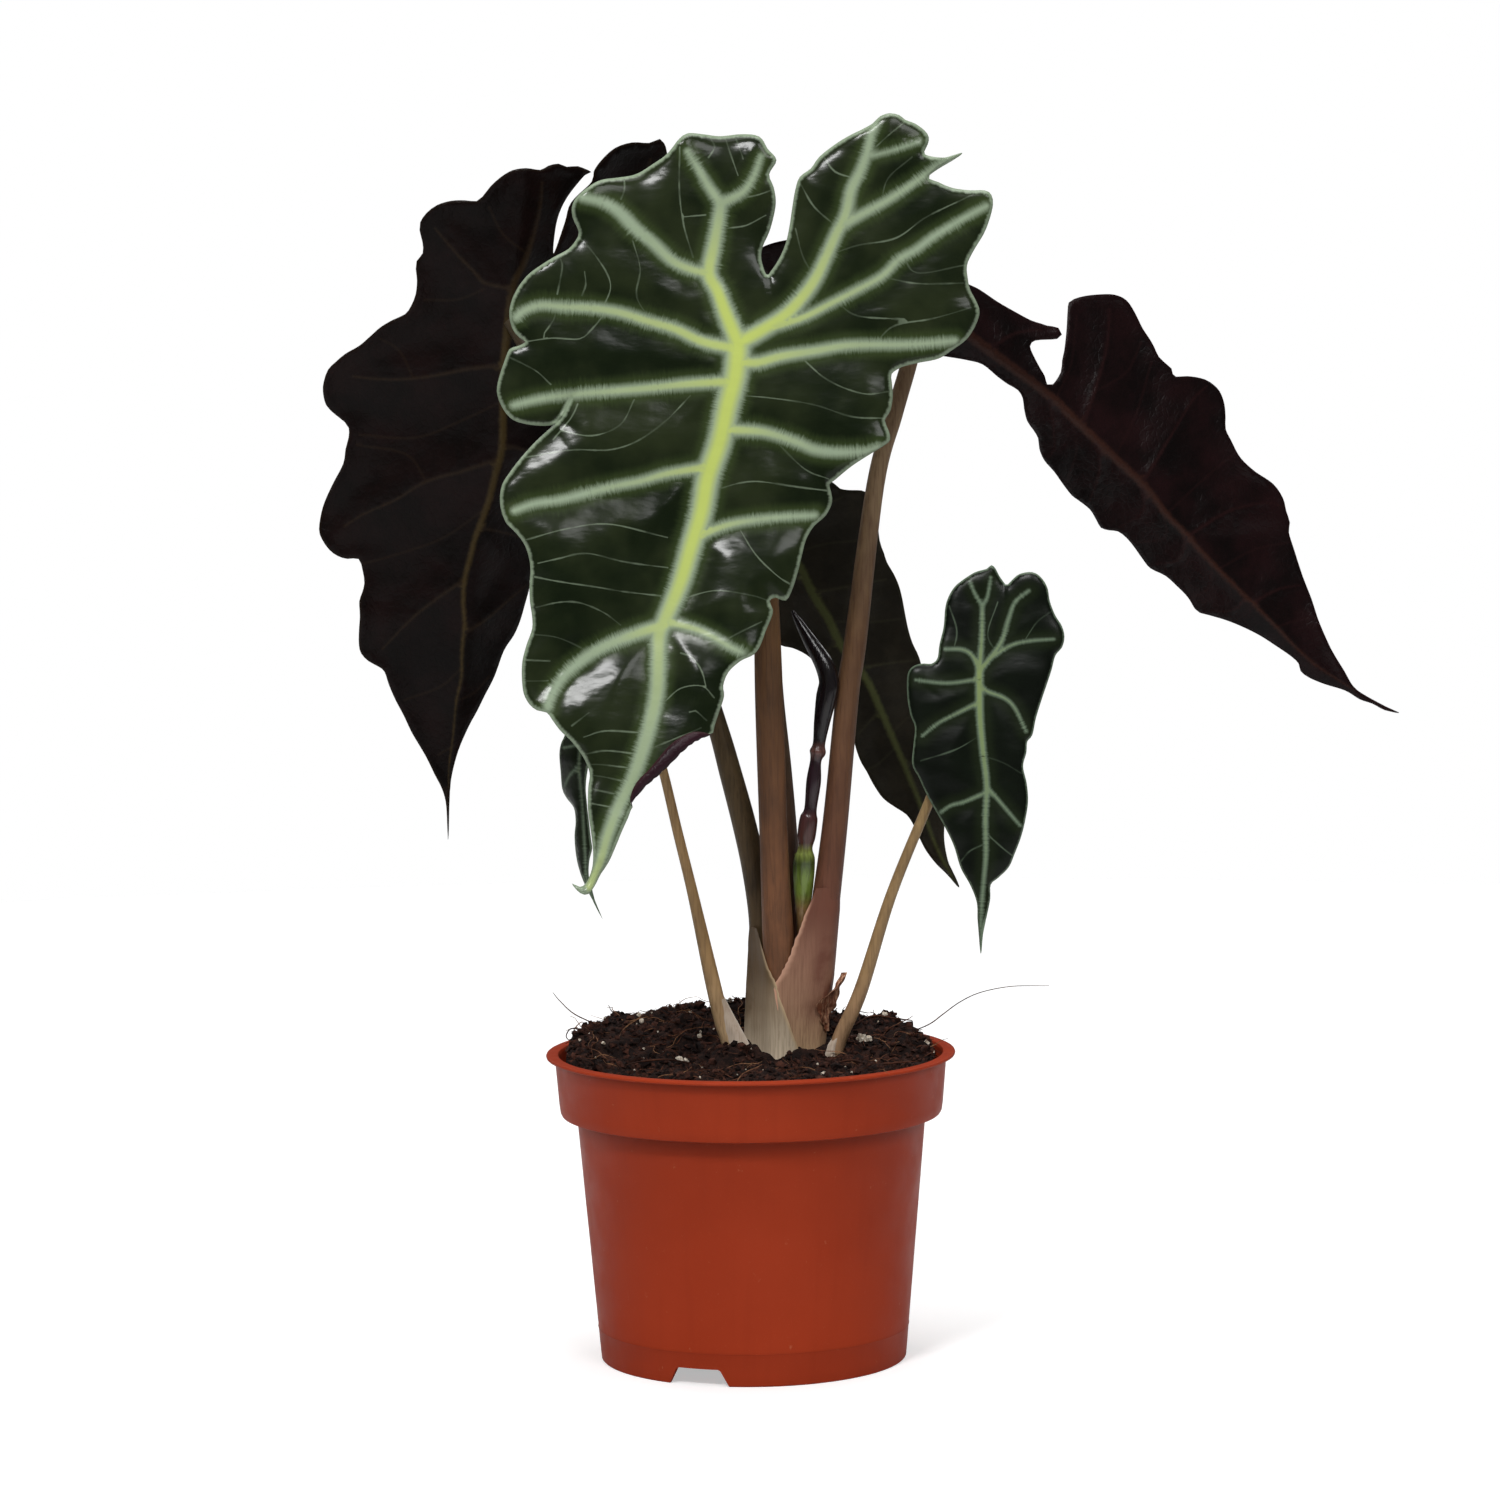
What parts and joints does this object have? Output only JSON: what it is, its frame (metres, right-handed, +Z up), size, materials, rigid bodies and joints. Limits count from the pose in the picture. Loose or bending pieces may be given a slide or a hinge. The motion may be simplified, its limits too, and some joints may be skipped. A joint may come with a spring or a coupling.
{
  "type": "potted alocasia",
  "caption": "Arrow-leaved alocasia with pale veins and purple undersides, growing in peat in a plain round nursery pot; stands on a flat surface.",
  "frame": {"origin": "middle of the contact pad under the pot, on the surface that it stands on", "axes": "+Z up along the pot's axis, -Y towards the side that the largest green leaf faces, +X to the right seen from that side"},
  "size_m": [0.3252, 0.1287, 0.3624],
  "materials": {
    "terracotta_plastic": "satin moulded plastic",
    "peat": "loose fibrous peat with white grains",
    "corm_skin": "rough skin",
    "root_skin": "fleshy root",
    "leaf_green": "waxy green with pale veins",
    "leaf_purple": "dark purple underside",
    "petiole_brown": "smooth stalk",
    "petiole_tan": "smooth thin stalk",
    "sheath_pink": "thin papery sheath",
    "dry_sheath": "dry brown scrap"
  },
  "bodies": {
    "root": {"pot": "terracotta_plastic", "soil": "peat", "corm": "corm_skin", "root_1": "root_skin", "root_2": "root_skin", "root_3": "root_skin", "root_4": "root_skin", "root_5": "root_skin", "root_6": "root_skin", "blade_front": "leaf_green", "blade_left": "leaf_purple", "blade_right": "leaf_purple", "blade_back": "leaf_purple", "blade_small_right": "leaf_green", "blade_small_left": "leaf_green", "petiole_front": "petiole_brown", "petiole_left": "petiole_brown", "petiole_right": "petiole_brown", "petiole_back": "petiole_brown", "petiole_small_left": "petiole_tan", "petiole_small_right": "petiole_tan", "rolled_leaf": "leaf_green", "sheath_left": "sheath_pink", "sheath_right": "sheath_pink", "dry_sheath_scrap": "dry_sheath"}
  },
  "joints": []
}
